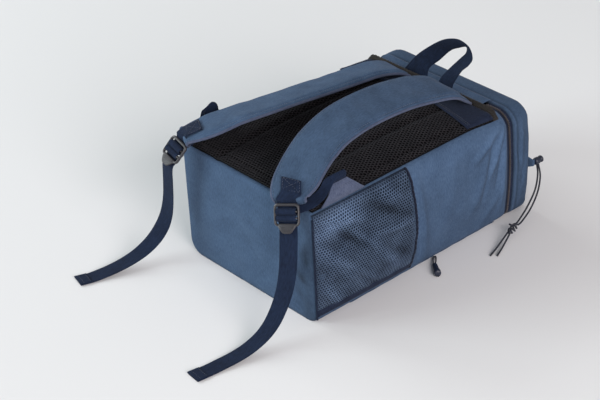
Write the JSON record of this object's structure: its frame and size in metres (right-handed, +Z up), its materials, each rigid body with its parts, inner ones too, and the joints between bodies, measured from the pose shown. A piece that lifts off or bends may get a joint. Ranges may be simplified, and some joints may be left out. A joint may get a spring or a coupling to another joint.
{
  "type": "cooler backpack",
  "caption": "Insulated cloth cooler backpack lying on its front, with zipped lid, padded shoulder straps, mesh side pocket and webbing handle.",
  "frame": {"origin": "middle of the flat front panel, on the floor that it lies on", "axes": "+X across the bag's width, +Y along its height towards the lid, +Z up from the front panel to the back panel"},
  "size_m": [0.3849, 0.6237, 0.2686],
  "materials": {
    "body_fabric": "slate-blue heather polyester weave, matt",
    "navy_webbing": "ribbed navy polypropylene webbing and tape",
    "back_mesh": "black air mesh over foam",
    "pocket_mesh": "navy air mesh, single layer",
    "buckle_plastic": "dark grey moulded acetal with rounded edges",
    "zip_coil": "brown-grey nylon coil",
    "cord": "thin braided dark navy cord",
    "lock_plastic": "dark navy moulded plastic"
  },
  "bodies": {
    "root": {"body_shell": "body_fabric", "lid_shell": "body_fabric", "back_panel_mesh": "back_mesh", "yoke_band": "navy_webbing", "top_binding": "back_mesh", "hinge_strip": "body_fabric", "zip_teeth": "zip_coil", "zip_tape_body": "navy_webbing", "zip_tape_lid": "navy_webbing", "side_pocket_mesh": "pocket_mesh", "pocket_hem": "navy_webbing", "pocket_edge": "navy_webbing", "shoulder_strap_right": "body_fabric", "shoulder_strap_left": "body_fabric", "strap_padding_right": "back_mesh", "strap_padding_left": "back_mesh", "ladder_lock_right": "buckle_plastic", "ladder_lock_left": "buckle_plastic", "strap_patch_right": "navy_webbing", "strap_patch_left": "navy_webbing", "adjuster_webbing_right": "navy_webbing", "adjuster_webbing_left": "navy_webbing", "side_tab_right": "body_fabric", "side_tab_left": "body_fabric", "carry_handle": "navy_webbing", "front_zip": "navy_webbing", "puller_end": "lock_plastic", "puller_cord": "cord", "cord_lock": "lock_plastic", "cord_loop": "body_fabric", "drawcord_near": "cord", "drawcord_far": "cord", "cord_end_near": "cord", "cord_end_far": "cord", "cord_knot": "cord"}
  },
  "joints": []
}
